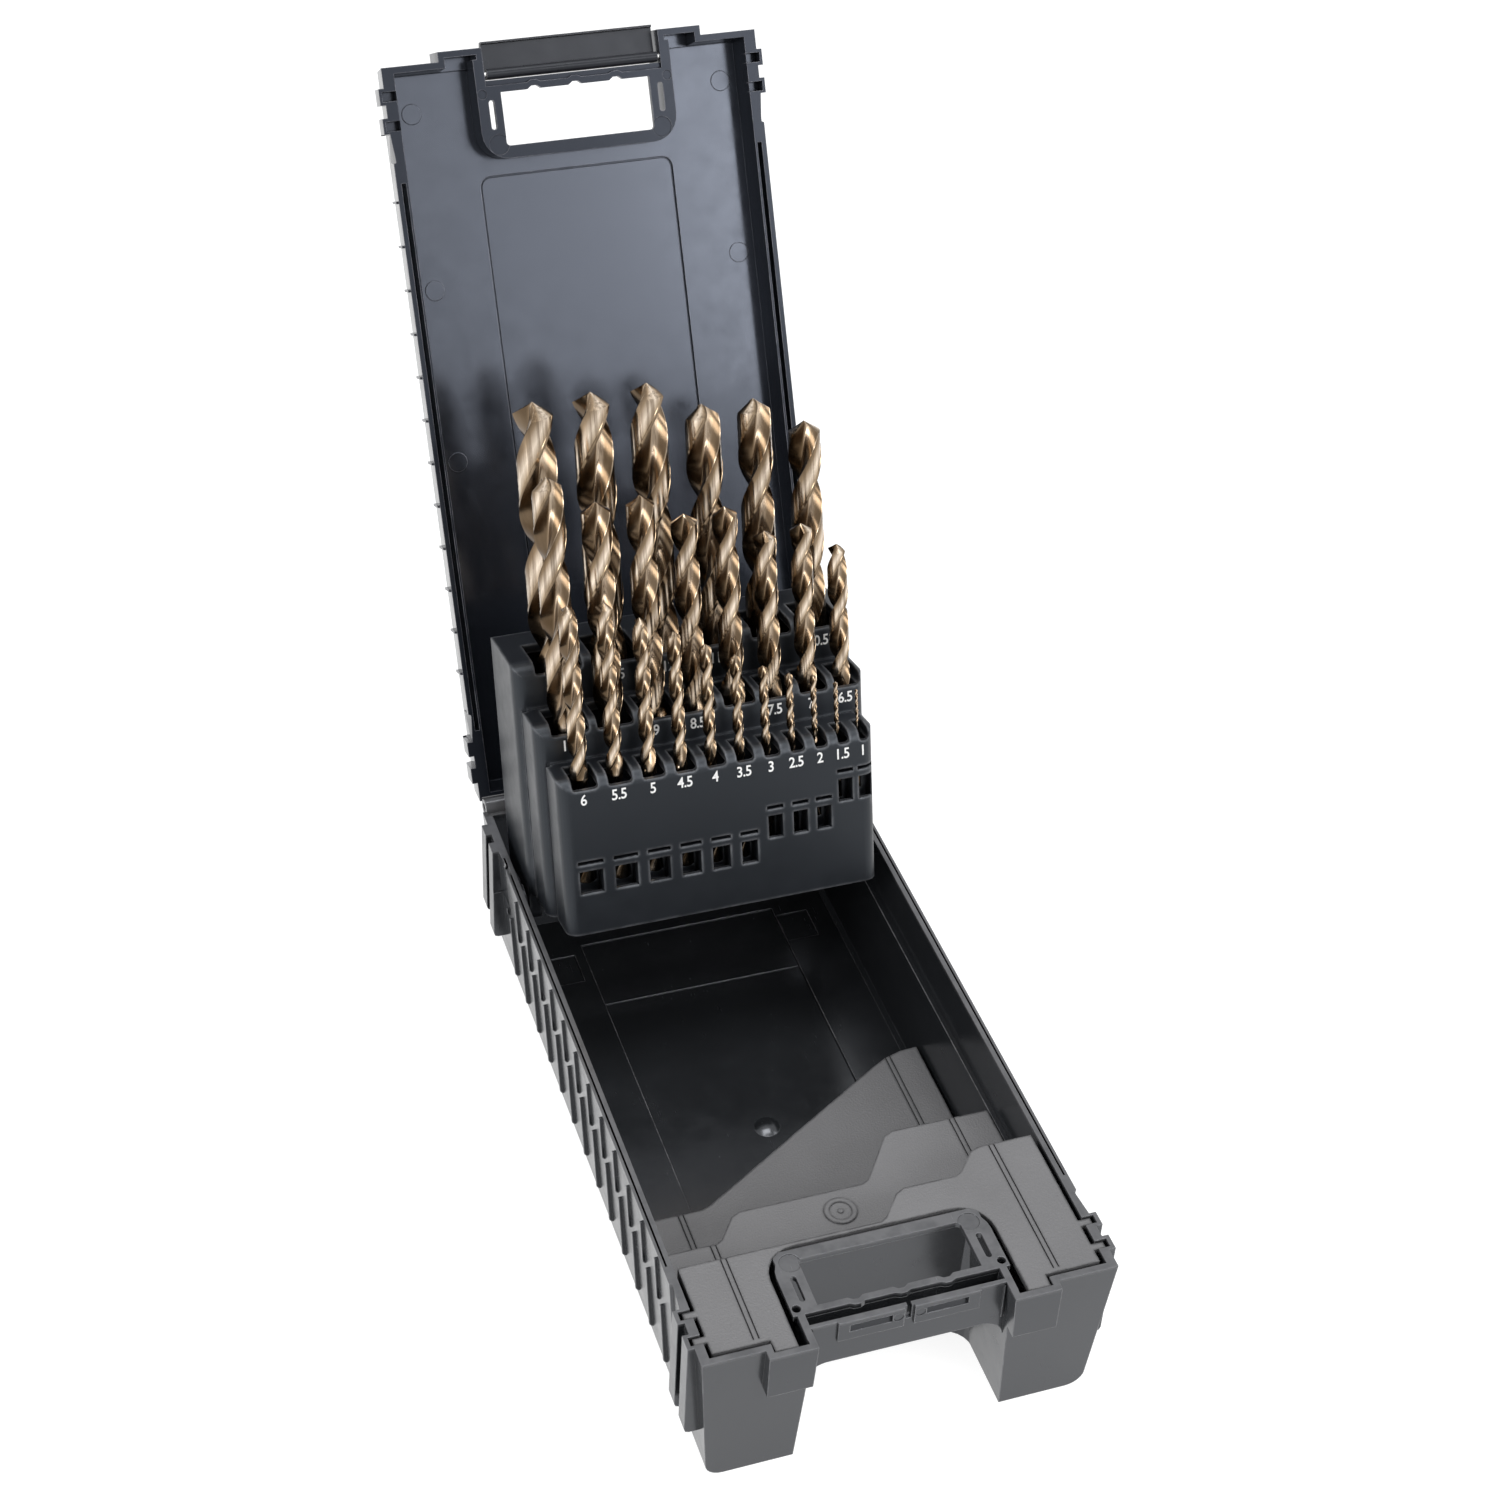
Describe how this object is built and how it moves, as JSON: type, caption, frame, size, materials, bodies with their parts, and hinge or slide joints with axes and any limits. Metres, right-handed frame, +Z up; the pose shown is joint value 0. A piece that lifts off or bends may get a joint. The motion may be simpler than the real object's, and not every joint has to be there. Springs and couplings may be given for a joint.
{
  "type": "drill bit case",
  "caption": "Moulded plastic case for twist drills with a tilting tiered holder, hinged lid, snap latch and built-in carrying handle.",
  "frame": {"origin": "centre of the tray's footprint, on the surface it stands on", "axes": "+X to the right across the case, +Y towards the hinge, +Z up; the lid stands open"},
  "size_m": [0.128, 0.3692, 0.27],
  "materials": {
    "black_shell": "satin moulded",
    "black_holder": "satin moulded",
    "grey_insert": "fine textured",
    "grey_latch": "satin moulded",
    "drill_steel": "ground, bronze tinted",
    "pin_steel": "drawn"
  },
  "bodies": {
    "case": {"base_shell": "black_shell", "drill_stop_insert": "grey_insert", "hinge_pin_left": "pin_steel", "hinge_pin_right": "pin_steel"},
    "lid": {"lid_shell": "black_shell", "latch_pin": "pin_steel"},
    "latch": {"latch_flap": "grey_latch"},
    "holder": {"drill_holder": "black_holder"},
    "drill_6_0": {"drill_6_0": "drill_steel"},
    "drill_5_5": {"drill_5_5": "drill_steel"},
    "drill_5_0": {"drill_5_0": "drill_steel"},
    "drill_4_5": {"drill_4_5": "drill_steel"},
    "drill_4_0": {"drill_4_0": "drill_steel"},
    "drill_3_5": {"drill_3_5": "drill_steel"},
    "drill_3_0": {"drill_3_0": "drill_steel"},
    "drill_2_5": {"drill_2_5": "drill_steel"},
    "drill_2_0": {"drill_2_0": "drill_steel"},
    "drill_1_5": {"drill_1_5": "drill_steel"},
    "drill_1_0": {"drill_1_0": "drill_steel"},
    "drill_10_0": {"drill_10_0": "drill_steel"},
    "drill_9_5": {"drill_9_5": "drill_steel"},
    "drill_9_0": {"drill_9_0": "drill_steel"},
    "drill_8_5": {"drill_8_5": "drill_steel"},
    "drill_8_0": {"drill_8_0": "drill_steel"},
    "drill_7_5": {"drill_7_5": "drill_steel"},
    "drill_7_0": {"drill_7_0": "drill_steel"},
    "drill_6_5": {"drill_6_5": "drill_steel"},
    "drill_13_0": {"drill_13_0": "drill_steel"},
    "drill_12_5": {"drill_12_5": "drill_steel"},
    "drill_12_0": {"drill_12_0": "drill_steel"},
    "drill_11_5": {"drill_11_5": "drill_steel"},
    "drill_11_0": {"drill_11_0": "drill_steel"},
    "drill_10_5": {"drill_10_5": "drill_steel"}
  },
  "joints": [
    {"name": "holder_tilt", "type": "hinge", "parent": "case", "child": "holder", "pos_m": [0, 0.08553, 0.04253], "axis": [-1, 0, 0], "range_deg": [-105.3, 0]},
    {"name": "lid_hinge", "type": "hinge", "parent": "case", "child": "lid", "pos_m": [0, 0.1218, 0.0536], "axis": [-1, 0, 0], "range_deg": [-117.65, 0]},
    {"name": "latch_swing", "type": "hinge", "parent": "lid", "child": "latch", "pos_m": [0, 0.23292, 0.26181], "axis": [-1, 0, 0], "range_deg": [-92, 0]},
    {"name": "drill_6_0_slide", "type": "slide", "parent": "holder", "child": "drill_6_0", "axis": [0, 0.2639, 0.9646], "range_m": [0, 0.04]},
    {"name": "drill_5_5_slide", "type": "slide", "parent": "holder", "child": "drill_5_5", "axis": [0, 0.2639, 0.9646], "range_m": [0, 0.041]},
    {"name": "drill_5_0_slide", "type": "slide", "parent": "holder", "child": "drill_5_0", "axis": [0, 0.2639, 0.9646], "range_m": [0, 0.041]},
    {"name": "drill_4_5_slide", "type": "slide", "parent": "holder", "child": "drill_4_5", "axis": [0, 0.2639, 0.9646], "range_m": [0, 0.041]},
    {"name": "drill_4_0_slide", "type": "slide", "parent": "holder", "child": "drill_4_0", "axis": [0, 0.2639, 0.9646], "range_m": [0, 0.042]},
    {"name": "drill_3_5_slide", "type": "slide", "parent": "holder", "child": "drill_3_5", "axis": [0, 0.2639, 0.9646], "range_m": [0, 0.042]},
    {"name": "drill_3_0_slide", "type": "slide", "parent": "holder", "child": "drill_3_0", "axis": [0, 0.2639, 0.9646], "range_m": [0, 0.038]},
    {"name": "drill_2_5_slide", "type": "slide", "parent": "holder", "child": "drill_2_5", "axis": [0, 0.2639, 0.9646], "range_m": [0, 0.038]},
    {"name": "drill_2_0_slide", "type": "slide", "parent": "holder", "child": "drill_2_0", "axis": [0, 0.2639, 0.9646], "range_m": [0, 0.032]},
    {"name": "drill_1_5_slide", "type": "slide", "parent": "holder", "child": "drill_1_5", "axis": [0, 0.2639, 0.9646], "range_m": [0, 0.027]},
    {"name": "drill_1_0_slide", "type": "slide", "parent": "holder", "child": "drill_1_0", "axis": [0, 0.2639, 0.9646], "range_m": [0, 0.025]},
    {"name": "drill_10_0_slide", "type": "slide", "parent": "holder", "child": "drill_10_0", "axis": [0, 0.2639, 0.9646], "range_m": [0, 0.056]},
    {"name": "drill_9_5_slide", "type": "slide", "parent": "holder", "child": "drill_9_5", "axis": [0, 0.2639, 0.9646], "range_m": [0, 0.059]},
    {"name": "drill_9_0_slide", "type": "slide", "parent": "holder", "child": "drill_9_0", "axis": [0, 0.2639, 0.9646], "range_m": [0, 0.059]},
    {"name": "drill_8_5_slide", "type": "slide", "parent": "holder", "child": "drill_8_5", "axis": [0, 0.2639, 0.9646], "range_m": [0, 0.059]},
    {"name": "drill_8_0_slide", "type": "slide", "parent": "holder", "child": "drill_8_0", "axis": [0, 0.2639, 0.9646], "range_m": [0, 0.058]},
    {"name": "drill_7_5_slide", "type": "slide", "parent": "holder", "child": "drill_7_5", "axis": [0, 0.2639, 0.9646], "range_m": [0, 0.06]},
    {"name": "drill_7_0_slide", "type": "slide", "parent": "holder", "child": "drill_7_0", "axis": [0, 0.2639, 0.9646], "range_m": [0, 0.06]},
    {"name": "drill_6_5_slide", "type": "slide", "parent": "holder", "child": "drill_6_5", "axis": [0, 0.2639, 0.9646], "range_m": [0, 0.061]},
    {"name": "drill_13_0_slide", "type": "slide", "parent": "holder", "child": "drill_13_0", "axis": [0, 0.2639, 0.9646], "range_m": [0, 0.071]},
    {"name": "drill_12_5_slide", "type": "slide", "parent": "holder", "child": "drill_12_5", "axis": [0, 0.2639, 0.9646], "range_m": [0, 0.07]},
    {"name": "drill_12_0_slide", "type": "slide", "parent": "holder", "child": "drill_12_0", "axis": [0, 0.2639, 0.9646], "range_m": [0, 0.07]},
    {"name": "drill_11_5_slide", "type": "slide", "parent": "holder", "child": "drill_11_5", "axis": [0, 0.2639, 0.9646], "range_m": [0, 0.07]},
    {"name": "drill_11_0_slide", "type": "slide", "parent": "holder", "child": "drill_11_0", "axis": [0, 0.2639, 0.9646], "range_m": [0, 0.071]},
    {"name": "drill_10_5_slide", "type": "slide", "parent": "holder", "child": "drill_10_5", "axis": [0, 0.2639, 0.9646], "range_m": [0, 0.071]}
  ],
  "couplings": [
    {"joint": "lid_hinge", "follows": "holder_tilt", "ratio": 1.1173}
  ]
}
